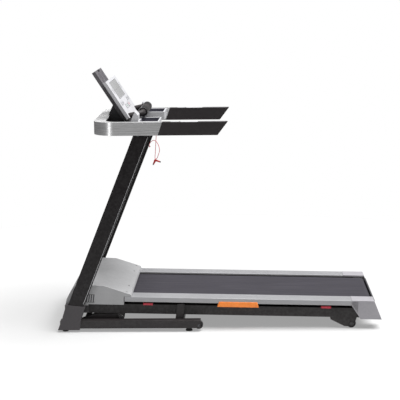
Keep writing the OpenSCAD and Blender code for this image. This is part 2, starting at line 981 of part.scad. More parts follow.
module cushions_red() {
    color(red)
        on_deck()
            both_sides()
                for (x = [-376, 560])
                    cushion(x - 26, x + 26, deck_half - 6, frame_top + 0.1, belt_top - belt_t - 18.5);
}

module cushions_orange() {
    color(orange)
        on_deck()
            both_sides() {
                cushion(-10, 204, frame_out + 2, frame_top + 0.1, belt_top - belt_t - 18.5);
                side_plate([[-12, -44.8], [206, -44.8], [198, -17], [-2, -17]], -deck_half - 4, -deck_half - 0.2);
                box([0, -deck_half - 1, -44.8], [196, -frame_out - 1, -32.5]);
            }
}

module rear_wheel() {
    color(black)
        difference() {
            rod_y(wheel_x, rear_wheel_r, rear_wheel_r, -wheel_y - 10.5, -wheel_y + 10.5);
            rod_y(wheel_x, rear_wheel_r, 5.06, -wheel_y - 12, -wheel_y + 12);
        }
}

module rear_wheel_left() { rear_wheel(); }
module rear_wheel_right() { mirrored() rear_wheel(); }

module deck_fasteners() {
    color(steel) {
        on_deck() {
            rod_y(front_roller_x, roller_z, 8, -frame_in + 0.2, frame_in - 0.2);
            rod_y(rear_roller_x, roller_z, 8, -frame_in + 0.2, frame_in - 0.2);
        }
        both_sides() {
            rod_y(wheel_x, rear_wheel_r, 5, -wheel_y - 15, -wheel_y + 16);
            rod_y(wheel_x, rear_wheel_r, 8, -wheel_y - 19, -wheel_y - 15.1);
            rod_y(hinge_x, hinge_z, hinge_pin_r, -arm_in - arm_w - 6, -arm_in + 6);
            rod_y(hinge_x, hinge_z, 11, -arm_in - arm_w - 7.8, -arm_in - arm_w - 6.1);
        }
    }
}

// ---- assembly ----

base_frame();
base_feet();
base_cover_left();
base_cover_right();
upright_left();
upright_right();
base_fasteners();
transport_wheel_left();
transport_wheel_right();
handrail_band();
grip_left();
grip_right();
quick_key_left();
quick_key_right();
console_base();
tray_left();
tray_right();
console_shell();
console_face();
display_lens();
control_board();
pulse_bar();
pulse_sensors();
start_key();
stop_key();
speed_up_key();
speed_down_key();
incline_up_key();
incline_down_key();
key_socket();
safety_key();
safety_cord();
safety_clip();
power_inlet();
power_switch();
fold_shaft();
lift_frame();
incline_motor();
incline_screw();
gas_strut_cylinder();
gas_strut_rod();
deck_frame();
deck_board();
running_belt();
foot_rail_left();
foot_rail_right();
end_caps();
motor_hood();
hood_skirt();
drive_motor();
motor_rotor();
drive_belt();
front_roller();
rear_roller();
motor_controller();
cushions_red();
cushions_orange();
rear_wheel_left();
rear_wheel_right();
deck_fasteners();
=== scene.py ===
"""Looks for the treadmill: materials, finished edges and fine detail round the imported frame."""
import json
import math

import bmesh
import bpy
from mathutils import Matrix, Vector

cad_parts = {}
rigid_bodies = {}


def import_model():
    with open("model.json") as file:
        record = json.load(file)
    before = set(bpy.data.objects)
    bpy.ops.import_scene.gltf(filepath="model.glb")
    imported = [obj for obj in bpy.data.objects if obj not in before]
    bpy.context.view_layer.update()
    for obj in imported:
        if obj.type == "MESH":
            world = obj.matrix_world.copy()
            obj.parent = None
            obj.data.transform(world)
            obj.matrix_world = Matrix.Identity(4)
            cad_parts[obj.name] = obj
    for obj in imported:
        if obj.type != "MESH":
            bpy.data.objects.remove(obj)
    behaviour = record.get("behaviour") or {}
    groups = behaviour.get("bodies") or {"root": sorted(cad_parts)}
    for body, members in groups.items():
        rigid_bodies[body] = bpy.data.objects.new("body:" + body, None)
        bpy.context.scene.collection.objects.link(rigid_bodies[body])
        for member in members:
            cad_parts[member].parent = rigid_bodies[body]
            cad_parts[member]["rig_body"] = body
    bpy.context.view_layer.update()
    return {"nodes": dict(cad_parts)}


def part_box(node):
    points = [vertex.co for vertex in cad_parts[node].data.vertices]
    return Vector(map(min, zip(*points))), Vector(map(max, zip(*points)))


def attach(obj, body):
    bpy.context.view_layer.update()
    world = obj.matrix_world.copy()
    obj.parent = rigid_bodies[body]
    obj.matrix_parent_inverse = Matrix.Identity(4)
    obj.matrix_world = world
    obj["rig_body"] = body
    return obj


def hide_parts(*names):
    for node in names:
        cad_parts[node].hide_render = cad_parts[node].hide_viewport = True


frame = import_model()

scene = bpy.context.scene
MM = 0.001
SHARP = math.radians(34)  # edges that turn more than this are rounded


# ---------------------------------------------------------------- small helpers

def link(obj):
    scene.collection.objects.link(obj)
    return obj


def mesh_object(name, bm, smooth_angle=math.radians(35)):
    """A new object from bm, with smooth shading broken at edges sharper than smooth_angle."""
    bmesh.ops.recalc_face_normals(bm, faces=bm.faces[:])
    mesh = bpy.data.meshes.new(name)
    bm.to_mesh(mesh)
    bm.free()
    shade(mesh, smooth_angle)
    return link(bpy.data.objects.new(name, mesh))


def shade(mesh, smooth_angle):
    """Smooth shading, sharp where two faces meet at more than smooth_angle."""
    mesh.polygons.foreach_set("use_smooth", [True] * len(mesh.polygons))
    mesh.set_sharp_from_angle(angle=smooth_angle)


# ---------------------------------------------------------------- camera

EYE = Vector((0.125, -7.119, 1.824))
YAW, PITCH, ROLL = (math.radians(a) for a in (-1.871, 9.486, -0.698))


def make_camera():
    ahead = Vector((math.sin(YAW) * math.cos(PITCH), math.cos(YAW) * math.cos(PITCH), -math.sin(PITCH)))
    level = Vector((math.cos(YAW), -math.sin(YAW), 0))
    upward = level.cross(ahead)
    right = level * math.cos(ROLL) + upward * math.sin(ROLL)
    up = upward * math.cos(ROLL) - level * math.sin(ROLL)
    data = bpy.data.cameras.new("camera")
    data.lens = 119.13
    data.sensor_width = 36
    data.clip_end = 300
    cam = link(bpy.data.objects.new("camera", data))
    cam.matrix_world = Matrix.Translation(EYE) @ Matrix((right, up, -ahead)).transposed().to_4x4()
    scene.camera = cam


make_camera()

# ---------------------------------------------------------------- material kit


class Look:
    """A Principled material whose colour, roughness and bump come from nodes in the object's space."""

    def __init__(self, name, rough, metallic=0.0, **fixed):
        self.material = bpy.data.materials.new(name)
        self.material.use_nodes = True
        self.tree = self.material.node_tree
        self.shader = self.tree.nodes["Principled BSDF"]
        self.set("Roughness", rough)
        self.set("Metallic", metallic)
        for key, value in fixed.items():
            self.set(key.replace("_", " "), value)
        self.rough = rough
        self.space = self.tree.nodes.new("ShaderNodeTexCoord").outputs["Object"]
        self.height = None
        self.colour = None

    def set(self, socket, value):
        self.shader.inputs[socket].default_value = value

    def node(self, kind, **inputs):
        n = self.tree.nodes.new("ShaderNode" + kind)
        for key, value in inputs.items():
            self.feed(n.inputs[key.replace("_", " ")], value)
        return n

    def feed(self, socket, value):
        if isinstance(value, bpy.types.NodeSocket):
            self.tree.links.new(value, socket)
        else:
            socket.default_value = value

    def stretched(self, sx, sy, sz, turn=(0, 0, 0)):
        """The object's space scaled along each axis."""
        n = self.node("Mapping", Vector=self.space)
        n.inputs["Rotation"].default_value = [math.radians(a) for a in turn]
        n.inputs["Scale"].default_value = (sx, sy, sz)
        return n.outputs[0]

    def noise(self, scale, detail=3.0, rough=0.5, space=None):
        return self.node("TexNoise", Vector=space or self.space, Scale=scale, Detail=detail,
                         Roughness=rough).outputs["Fac"]

    def math(self, operation, a, b=0.0):
        n = self.tree.nodes.new("ShaderNodeMath")
        n.operation = operation
        self.feed(n.inputs[0], a)
        self.feed(n.inputs[1], b)
        return n.outputs[0]

    def ramp(self, value, low, high, out_low=0.0, out_high=1.0):
        """value from low..high to out_low..out_high, held at both ends."""
        n = self.node("MapRange", Value=value, From_Min=low, From_Max=high,
                      To_Min=out_low, To_Max=out_high)
        n.clamp = True
        return n.outputs[0]

    def mix(self, factor, a, b, blend="MIX"):
        n = self.tree.nodes.new("ShaderNodeMix")
        n.data_type, n.blend_type = "RGBA", blend
        self.feed(n.inputs["Factor"], factor)
        self.feed(n.inputs[6], a)
        self.feed(n.inputs[7], b)
        return n.outputs[2]

    def paint(self, colour, vary=0.12, scale=14.0, speck=0.06, speck_scale=700.0):
        """Base colour with slow uneven tone and fine specks."""
        tone = [(*[c * (1 + side * vary) for c in colour], 1) for side in (-1, 1)]
        slow = self.ramp(self.noise(scale, 4, 0.6), 0.3, 0.7)
        self.colour = self.mix(slow, tone[0], tone[1])
        fine = self.ramp(self.noise(speck_scale, 1), 0.35, 0.65, 1 - speck, 1 + speck)
        n = self.node("CombineColor", Red=fine, Green=fine, Blue=fine)
        self.colour = self.mix(1.0, self.colour, n.outputs[0], "MULTIPLY")
        return self

    def tint(self, factor, colour, amount=1.0):
        """Blends colour over the paint where factor is high."""
        if amount != 1.0:
            factor = self.math("MULTIPLY", factor, amount)
        self.colour = self.mix(factor, self.colour, (*colour, 1))
        return self

    def wear(self, colour, amount):
        """Rubbed colour along raised edges, broken up by noise."""
        edge = self.ramp(self.node("NewGeometry").outputs["Pointiness"], 0.53, 0.6)
        broken = self.math("MULTIPLY", edge, self.ramp(self.noise(90, 4), 0.4, 0.62))
        return self.tint(broken, colour, amount)

    def dust(self, colour=(0.35, 0.33, 0.31), amount=0.05):
        """Light dust that lies on faces turned up."""
        normal = self.node("NewGeometry").outputs["Normal"]
        up = self.ramp(self.node("SeparateXYZ", Vector=normal).outputs["Z"], 0.5, 1.0)
        patch = self.math("MULTIPLY", up, self.ramp(self.noise(30, 5, 0.7), 0.42, 0.7))
        return self.tint(patch, colour, amount)

    def uneven(self, spread=0.08, scale=40.0, space=None):
        """Roughness that wanders by spread on both sides of the set value."""
        self.feed(self.shader.inputs["Roughness"],
                  self.ramp(self.noise(scale, 4, 0.6, space), 0.3, 0.7,
                            max(self.rough - spread, 0.02), min(self.rough + spread, 1.0)))
        return self

    def relief(self, value, amount=0.3, depth=0.0004):
        """Adds value to the bump; amount is its strength and depth its height in metres."""
        n = self.node("Bump", Height=value, Strength=amount, Distance=depth)
        if self.height is not None:
            self.feed(n.inputs["Normal"], self.height)
        self.height = n.outputs["Normal"]
        return self

    def done(self):
        if self.colour is not None:
            self.feed(self.shader.inputs["Base Color"], self.colour)
        if self.height is not None:
            self.feed(self.shader.inputs["Normal"], self.height)
        return self.material

# ---------------------------------------------------------------- materials


def powder_coat(name, colour, rough, gloss):
    """Baked powder paint: orange peel, a few dust nibs and edges rubbed a little lighter."""
    m = Look(name, rough, Specular_IOR_Level=gloss).paint(colour, 0.10, 9, 0.06, 900)
    m.wear([0.08 + c for c in colour], 0.2)
    m.dust(amount=0.02)
    m.uneven(0.05, 60)
    m.relief(m.noise(420, 2), 0.4, 0.00005)
    return m.relief(m.noise(60, 3), 0.10, 0.0003).done()


def moulded(name, colour, rough, grain=1500.0, amount=0.28, **fixed):
    """Injection-moulded plastic with a spark-eroded grain and faint flow marks."""
    m = Look(name, rough, **fixed).paint(colour, 0.07, 7, 0.04, 1100)
    m.wear([min(1.0, c * 1.25 + 0.03) for c in colour], 0.3)
    m.dust(amount=0.03)
    m.uneven(0.06, 45)
    cells = m.node("TexVoronoi", Vector=m.space, Scale=grain).outputs["Distance"]
    m.relief(cells, amount, 0.00015)
    return m.relief(m.noise(25, 2), 0.06, 0.001).done()


def brushed(name, colour, rough, along, metallic=1.0, contrast=0.12, **fixed):
    """Metal with brush marks: noise drawn out along one or two axes."""
    m = Look(name, rough, metallic, **fixed).paint(colour, 0.05, 6, 0.02, 300)
    lines = m.stretched(*along)
    marks = m.noise(1.0, 4, 0.7, lines)
    shade_of = m.ramp(marks, 0.3, 0.7, 1 - contrast, 1 + contrast)
    m.colour = m.mix(1.0, m.colour, m.node("CombineColor", Red=shade_of, Green=shade_of,
                                           Blue=shade_of).outputs[0], "MULTIPLY")
    m.uneven(0.09, 1.0, lines)
    m.relief(marks, 1.5 * contrast, 0.00012)
    return m.relief(m.noise(30, 3), 0.05, 0.0008).done()


def plated(name, colour, rough):
    """Zinc or chrome plate with fine pits and water marks."""
    m = Look(name, rough, 1.0).paint(colour, 0.10, 55, 0.05, 800)
    m.tint(m.ramp(m.noise(120, 5, 0.7), 0.55, 0.75), [c * 0.55 for c in colour], 0.5)
    m.uneven(0.10, 90)
    return m.relief(m.noise(600, 3), 0.2, 0.00015).done()


def rubbery(name, colour, rough, pitch=0.0):
    """Rubber or foam skin; with a pitch, rows of small raised pips that far apart, tinted lighter as a
    painted highlight on the pips.
    """
    m = Look(name, rough, Specular_IOR_Level=0.35, Sheen_Weight=0.05).paint(colour, 0.12, 18, 0.10, 600)
    m.dust(amount=0.05)
    m.uneven(0.05, 70)
    m.relief(m.noise(900, 3), 0.3, 0.0002)
    if pitch:
        pips = m.node("TexVoronoi", Vector=m.space, Scale=1 / pitch, Randomness=0.0).outputs["Distance"]
        raised = m.ramp(pips, 0.22, 0.38, 1.0, 0.0)
        # painted highlight: the raised pips are tinted lighter than the skin around them
        m.tint(raised, [c * 1.5 for c in colour], 0.35)
        m.relief(raised, 0.6, 0.0005)
    return m.done()


def belt_fabric():
    """Walking belt: PVC skin pressed with a small diamond pattern, scuffed along the middle."""
    m = Look("belt_fabric", 0.62, Specular_IOR_Level=0.4)
    m.paint((0.022, 0.020, 0.027), 0.08, 5, 0.10, 500)
    grid = m.stretched(1, 1, 1, (0, 0, 45))
    cells = m.node("TexVoronoi", Vector=grid, Scale=330, Randomness=0.0)
    cells.distance = "CHEBYCHEV"
    diamonds = m.ramp(cells.outputs["Distance"], 0.25, 0.48)
    m.tint(diamonds, (0.022, 0.020, 0.026), 0.55)
    scuffs = m.ramp(m.noise(1.0, 5, 0.7, m.stretched(4, 55, 1)), 0.5, 0.72)
    m.tint(scuffs, (0.12, 0.11, 0.13), 0.12)
    m.uneven(0.08, 1.0, m.stretched(3, 40, 1))
    m.relief(diamonds, -0.5, 0.0004)
    return m.relief(m.noise(1200, 2), 0.15, 0.0002).done()


def board_wood():
    """Pressed board: chips and resin under a dark phenolic film, paler on the cut edges."""
    m = Look("board_wood", 0.55).paint((0.30, 0.19, 0.10), 0.25, 60, 0.15, 500)
    chips = m.node("TexVoronoi", Vector=m.stretched(160, 160, 420), Scale=1.0).outputs["Color"]
    m.colour = m.mix(0.35, m.colour, chips, "MULTIPLY")
    normal = m.node("NewGeometry").outputs["Normal"]
    flat = m.ramp(m.math("ABSOLUTE", m.node("SeparateXYZ", Vector=normal).outputs["Z"]), 0.6, 0.8)
    m.tint(flat, (0.035, 0.022, 0.016), 0.92)
    m.uneven(0.1, 30)
    return m.relief(m.noise(500, 4), 0.3, 0.0003).done()


def circuit_board():
    """Green solder mask over copper tracks, with bare pads."""
    m = Look("circuit_board", 0.35, Specular_IOR_Level=0.5)
    m.paint((0.012, 0.11, 0.045), 0.1, 30, 0.05, 900)
    runs = m.node("TexBrick", Vector=m.stretched(55, 55, 55), Scale=1.0, Mortar_Size=0.09)
    runs.offset = 0.35
    tracks = runs.outputs["Fac"]
    m.tint(tracks, (0.05, 0.30, 0.12), 0.7)
    pads = m.node("TexVoronoi", Vector=m.space, Scale=240).outputs["Distance"]
    dots = m.ramp(pads, 0.16, 0.2, 1.0, 0.0)
    m.tint(dots, (0.75, 0.68, 0.42), 0.9)
    return m.relief(tracks, 0.4, 0.0002).relief(dots, 0.4, 0.0004).done()


def elastomer(name, colour):
    """Shock-absorbing elastomer: waxy, slightly translucent, with fine mould lines."""
    m = Look(name, 0.42, Subsurface_Weight=0.10, Subsurface_Scale=0.004, Specular_IOR_Level=0.45)
    m.set("Subsurface Radius", (1.0, 0.35, 0.2))
    m.paint(colour, 0.10, 25, 0.05, 700)
    m.wear([min(1.0, c * 1.35 + 0.04) for c in colour], 0.4)
    m.dust((0.45, 0.38, 0.33), 0.06)
    m.uneven(0.08, 50)
    lines = m.node("TexWave", Vector=m.space, Scale=90, Distortion=0.4)
    lines.bands_direction = "Z"
    m.relief(lines.outputs["Fac"], 0.12, 0.0003)
    return m.relief(m.noise(800, 3), 0.25, 0.0002).done()


def display_glass():
    """Clear window over an unlit pale panel, with dormant dots in it and wiping marks on the glass."""
    m = Look("display", 0.12, Coat_Weight=1.0, Coat_Roughness=0.04)
    m.paint((0.74, 0.745, 0.75), 0.05, 8, 0.0, 200)
    dots = m.node("TexVoronoi", Vector=m.space, Scale=420, Randomness=0.0).outputs["Distance"]
    m.tint(m.ramp(dots, 0.2, 0.35, 1.0, 0.0), (0.62, 0.63, 0.64), 0.5)
    m.tint(m.ramp(m.noise(45, 5, 0.7), 0.6, 0.8), (0.74, 0.74, 0.75), 0.3)
    m.uneven(0.05, 30)
    return m.relief(m.noise(12, 2), 0.03, 0.0006).done()


def twisted_cord():
    """Braided polyester cord: two sets of strands crossing on a slant, with painted shade in the grooves
    between them.
    """
    m = Look("cord_red", 0.7, Sheen_Weight=0.3, Sheen_Roughness=0.4)
    m.paint((0.72, 0.035, 0.05), 0.15, 90, 0.12, 2500)
    fine = m.stretched(1, 1, 1, (0, 35, 0))
    for turn in (38, -38):
        strands = m.node("TexWave", Vector=m.stretched(1, 1, 1, (0, turn, 0)), Scale=420, Distortion=0.8)
        strands.bands_direction = "Z"
        m.relief(strands.outputs["Fac"], 0.5, 0.0003)
        # painted shade: the grooves between strands are tinted dark red
        m.tint(m.ramp(strands.outputs["Fac"], 0.0, 0.4, 1.0, 0.0), (0.16, 0.02, 0.02), 0.35)
    return m.relief(m.noise(2500, 2, 0.5, fine), 0.3, 0.0002).done()


SLOTS = {
    "frame_paint": powder_coat("frame_paint", (0.018, 0.0152, 0.0156), 0.45, 0.35),
    "upright_paint": powder_coat("upright_paint", (0.0105, 0.009, 0.0095), 0.32, 0.22),
    "cover_plastic": moulded("cover_plastic", (0.038, 0.034, 0.037), 0.5),
    "rubber": rubbery("rubber", (0.018, 0.017, 0.017), 0.72),
    "wheel_rubber": rubbery("wheel_rubber", (0.022, 0.021, 0.022), 0.62),
    "zinc": plated("zinc", (0.30, 0.30, 0.29), 0.34),
    "brushed_silver": brushed("brushed_silver", (0.72, 0.72, 0.725), 0.30, (4, 4, 1400), 0.7, 0.08),
    "silver_plastic": moulded("silver_plastic", (0.45, 0.45, 0.465), 0.46, 2200, 0.12,
                              Specular_IOR_Level=0.3),
    "grip_rubber": rubbery("grip_rubber", (0.0175, 0.014, 0.015), 0.55, 0.0032),
    "key_grey": moulded("key_grey", (0.39, 0.39, 0.405), 0.42, 2500, 0.10,
                        Specular_IOR_Level=0.3),
    "dark_plastic": moulded("dark_plastic", (0.040, 0.039, 0.043), 0.46),
    "shell_plastic": moulded("shell_plastic", (0.105, 0.100, 0.108), 0.44),
    "display": display_glass(),
    "circuit_board": circuit_board(),
    "chrome": plated("chrome", (0.30, 0.30, 0.31), 0.16),
    "key_red": moulded("key_red", (0.50, 0.025, 0.025), 0.34, 2500, 0.10, Coat_Weight=0.3),
    "cord_red": twisted_cord(),
    "strut_paint": powder_coat("strut_paint", (0.022, 0.022, 0.024), 0.28, 0.5),
    "board_wood": board_wood(),
    "belt_fabric": belt_fabric(),
    "rail_silver": brushed("rail_silver", (0.30, 0.30, 0.31), 0.42, (3, 500, 500), 0.2, 0.05),
    "cap_plastic": moulded("cap_plastic", (0.27, 0.262, 0.28), 0.44, 1700, 0.18),
    "hood_plastic": moulded("hood_plastic", (0.287, 0.287, 0.292), 0.40, 1700, 0.16),
    "heat_sink": brushed("heat_sink", (0.42, 0.43, 0.45), 0.42, (6, 900, 900), 0.9),
    "cushion_red": elastomer("cushion_red", (0.46, 0.024, 0.045)),
    "cushion_orange": elastomer("cushion_orange", (0.80, 0.215, 0.028)),
}
for body_node in frame["nodes"].values():
    for place, old in enumerate(body_node.data.materials):
        body_node.data.materials[place] = SLOTS[old.name.split(".")[0]]

# ---------------------------------------------------------------- finished edges


def soften(obj, width):
    """Rounds the sharp edges of obj by width."""
    bevel = obj.modifiers.new("rounded", "BEVEL")
    bevel.width, bevel.segments = width, 2
    bevel.limit_method, bevel.angle_limit = "ANGLE", SHARP
    bevel.use_clamp_overlap, bevel.harden_normals = True, True
    bevel.miter_outer = "MITER_ARC"


def finished(node, width):
    """Stands for a CAD node: the same shape with its seams joined and its edges rounded by width."""
    source = frame["nodes"][node]
    bm = bmesh.new()
    bm.from_mesh(source.data)
    bmesh.ops.remove_doubles(bm, verts=bm.verts, dist=2e-5)
    bmesh.ops.dissolve_limit(bm, angle_limit=math.radians(0.6), verts=bm.verts, edges=bm.edges)
    mesh = bpy.data.meshes.new(node + "_finished")
    bm.to_mesh(mesh)
    bm.free()
    if "custom_normal" in mesh.attributes:
        mesh.attributes.remove(mesh.attributes["custom_normal"])
    for material in source.data.materials:
        mesh.materials.append(material)
    shade(mesh, SHARP)
    obj = link(bpy.data.objects.new(node + "_finished", mesh))
    soften(obj, width)
    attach(obj, source["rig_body"])
    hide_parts(node)


# Edge radius of each visible node, in millimetres
EDGES = {
    "base_frame": 2.5, "base_cover_left": 3.0, "base_cover_right": 3.0,
    "upright_left": 4.0, "upright_right": 4.0, "handrail_band": 2.0,
    "grip_left": 5.0, "grip_right": 5.0, "console_base": 2.0, "tray_left": 2.5, "tray_right": 2.5,
    "console_shell": 3.0, "console_face": 3.0, "display_lens": 0.8,
    "start_key": 1.2, "stop_key": 1.2, "speed_up_key": 1.0, "speed_down_key": 1.0,
    "incline_up_key": 1.0, "incline_down_key": 1.0, "quick_key_left": 1.2, "quick_key_right": 1.2,
    "safety_key": 0.8, "safety_clip": 1.2, "lift_frame": 2.0, "deck_frame": 2.5, "deck_board": 0.8,
    "foot_rail_left": 2.5, "foot_rail_right": 2.5, "end_caps": 3.5, "motor_hood": 5.0, "hood_skirt": 2.5,
    "cushions_red": 2.0, "cushions_orange": 2.0, "power_inlet": 0.8, "power_switch": 0.8,
    "motor_controller": 0.8, "drive_motor": 1.0, "base_feet": 1.5, "pulse_bar": 3.0,
    "base_fasteners": 0.8, "deck_fasteners": 0.8, "fold_shaft": 0.8, "front_roller": 1.5,
    "rear_roller": 1.5, "gas_strut_cylinder": 1.0, "incline_motor": 1.2, "incline_screw": 0.6,
    "key_socket": 0.8, "gas_strut_rod": 0.5,
}
for cad_node, radius in EDGES.items():
    finished(cad_node, radius * MM)

# ---------------------------------------------------------------- frames of the sloping parts

DECK = Matrix.Translation((0, 0, 0.168)) @ Matrix.Rotation(math.radians(1.3), 4, "Y")
PANEL = Matrix.Translation((-0.458, 0, 1.107)) @ Matrix.Rotation(math.radians(-32.6), 4, "Y")
SIDES = {"left": -1, "right": 1}


# Where a point (a, b) of an outline lies when the outline is drawn out to c along an axis
ALONG = {"x": lambda a, b, c: (c, a, b), "y": lambda a, b, c: (a, c, b), "z": lambda a, b, c: (a, b, c)}


def loop_of(bm, outline, axis, c, at):
    return [bm.verts.new(at @ Vector(ALONG[axis](a, b, c))) for a, b in outline]


def bridge(bm, here, there):
    """Faces between two loops of vertices with equal counts."""
    for i in range(len(here)):
        j = (i + 1) % len(here)
        bm.faces.new((here[i], here[j], there[j], there[i]))


def prism(bm, outline, axis, low, high, at=Matrix.Identity(4)):
    """Adds a closed prism: outline in the two axes left over, drawn out from low to high along axis."""
    ends = [loop_of(bm, outline, axis, c, at) for c in (low, high)]
    for end in ends:
        bm.faces.new(end)
    bridge(bm, *ends)


def ring(bm, outer, inner, axis, low, high, at=Matrix.Identity(4)):
    """Adds a closed ring between two outlines with equal counts of points."""
    loops = [loop_of(bm, outline, axis, c, at)
             for outline, c in ((outer, low), (outer, high), (inner, high), (inner, low))]
    for here, there in zip(loops, loops[1:] + loops[:1]):
        bridge(bm, here, there)


def rounded_rect(x0, x1, y0, y1, r, steps=4):
    """Corner points of a rectangle with rounded corners."""
    corners = [(x1 - r, y1 - r, 0), (x0 + r, y1 - r, 90), (x0 + r, y0 + r, 180), (x1 - r, y0 + r, 270)]
    turns = [(cx, cy, math.radians(a + 90 * k / steps)) for cx, cy, a in corners for k in range(steps + 1)]
    return [(cx + r * math.cos(turn), cy + r * math.sin(turn)) for cx, cy, turn in turns]


def disc(cx, cy, r):
    turns = [math.tau * k / 24 for k in range(24)]
    return [(cx + r * math.cos(turn), cy + r * math.sin(turn)) for turn in turns]


def piece(name, bm, look, body, round_by=0.0, smooth_angle=math.radians(35)):
    """A detail piece from bm, in its place, that rides on a body; look is a material or a slot's name."""
    slot = look if isinstance(look, str) else None
    obj = mesh_object(name, bm, smooth_angle)
    obj.data.materials.append(SLOTS[slot] if slot else look)
    if round_by:
        soften(obj, round_by)
    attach(obj, body)
    return obj


# ---------------------------------------------------------------- safety cord

# Route of the cord, in millimetres: down from the key, through the clip's eye and up to its loose end
CORD_ROUTE = [
    (-332, -200, 1041), (-329, -200, 1030), (-328, -200, 1010), (-330, -200, 980),
    (-332, -200, 950), (-334, -200, 920), (-336, -200, 900), (-334, -202, 890),
    (-326, -205, 892), (-318, -207, 910), (-311, -208, 935), (-315, -208, 960),
    (-326, -208, 980), (-340, -208, 989), (-354, -208, 982), (-365, -208, 966), (-362, -208, 956),
]
CORD_DIAMETER = 0.003


def smooth_route(points, steps):
    """Catmull-Rom points through the route."""
    pts = [Vector(p) * MM for p in points]
    out = []
    for i in range(len(pts) - 1):
        a, b, c, d = pts[max(i - 1, 0)], pts[i], pts[i + 1], pts[min(i + 2, len(pts) - 1)]
        for k in range(steps):
            t = k / steps
            out.append(0.5 * (2 * b + (c - a) * t + (2 * a - 5 * b + 4 * c - d) * t ** 2
                              + (3 * b - a - 3 * c + d) * t ** 3))
    return out + [pts[-1]]


def make_cord():
    route = smooth_route(CORD_ROUTE, 4)
    curve = bpy.data.curves.new("safety_cord_strand", "CURVE")
    curve.dimensions = "3D"
    curve.bevel_depth = CORD_DIAMETER / 2
    curve.bevel_resolution = 4
    curve.use_fill_caps = True
    spline = curve.splines.new("POLY")
    spline.points.add(len(route) - 1)
    for point, place in zip(spline.points, route):
        point.co = (*place, 1)
    curve.materials.append(SLOTS["cord_red"])
    strand = link(bpy.data.objects.new("safety_cord_strand", curve))
    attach(strand, "safety_key")
    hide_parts("safety_cord")

    # overhand knot that keeps the loose end from fraying
    bm = bmesh.new()
    bmesh.ops.create_uvsphere(bm, u_segments=20, v_segments=12, radius=0.0034)
    for v in bm.verts:
        v.co *= 1 + 0.16 * math.sin(3 * math.atan2(v.co.y, v.co.x) + v.co.z * 900)
    bmesh.ops.translate(bm, verts=bm.verts, vec=route[-1])
    knot = piece("safety_cord_knot", bm, "cord_red", "safety_key", smooth_angle=math.radians(80))

    # grey pads on the tips of the clip's jaws
    bm = bmesh.new()
    for x, z in ((-0.3092, 0.8730), (-0.3455, 0.8602)):
        prism(bm, rounded_rect(x - 0.0032, x + 0.0032, z - 0.0032, z + 0.0032, 0.0012), "y",
              -0.2056, -0.1944)
    tips = piece("safety_clip_tips", bm, "shell_plastic", "safety_key", 0.0004)


make_cord()

# ---------------------------------------------------------------- console details

KEY_TOP = 0.003


def symbol_material(name, colour):
    """Printed symbol: satin ink with a fine grain."""
    m = Look(name, 0.45).paint(colour, 0.08, 60, 0.08, 1500)
    m.uneven(0.06, 90)
    return m.relief(m.noise(2200, 2), 0.2, 0.00005).done()


INK_DARK = symbol_material("ink_dark", (0.06, 0.06, 0.065))
INK_GREEN = symbol_material("ink_green", (0.03, 0.30, 0.08))
INK_RED = symbol_material("ink_red", (0.55, 0.02, 0.02))


def key_symbols():
    """Generic symbols on the keys: a triangle to start, a square to stop, plus and minus."""
    size = 0.0055
    arm = size / 3.4
    triangle = [(-size, -size), (size, 0), (-size, size)]
    square = [(-size, -size), (size, -size), (size, size), (-size, size)]
    minus = [(-size, -arm), (size, -arm), (size, arm), (-size, arm)]
    plus = [(-size, -arm), (-arm, -arm), (-arm, -size), (arm, -size), (arm, -arm), (size, -arm),
            (size, arm), (arm, arm), (arm, size), (-arm, size), (-arm, arm), (-size, arm)]
    # key: place across, place up the face, symbol, ink
    keys = {
        "start_key": (-0.060, 0.062, triangle, INK_GREEN),
        "stop_key": (0.060, 0.062, square, INK_RED),
        "incline_down_key": (-0.190, 0.090, minus, INK_DARK),
        "incline_up_key": (-0.130, 0.090, plus, INK_DARK),
        "speed_down_key": (0.130, 0.090, minus, INK_DARK),
        "speed_up_key": (0.190, 0.090, plus, INK_DARK),
    }
    for key, (y, z, outline, ink) in keys.items():
        bm = bmesh.new()
        prism(bm, [(y + a, z + b) for a, b in outline], "x", KEY_TOP - 0.0003, KEY_TOP + 0.0002, PANEL)
        piece(key + "_symbol", bm, ink, key)


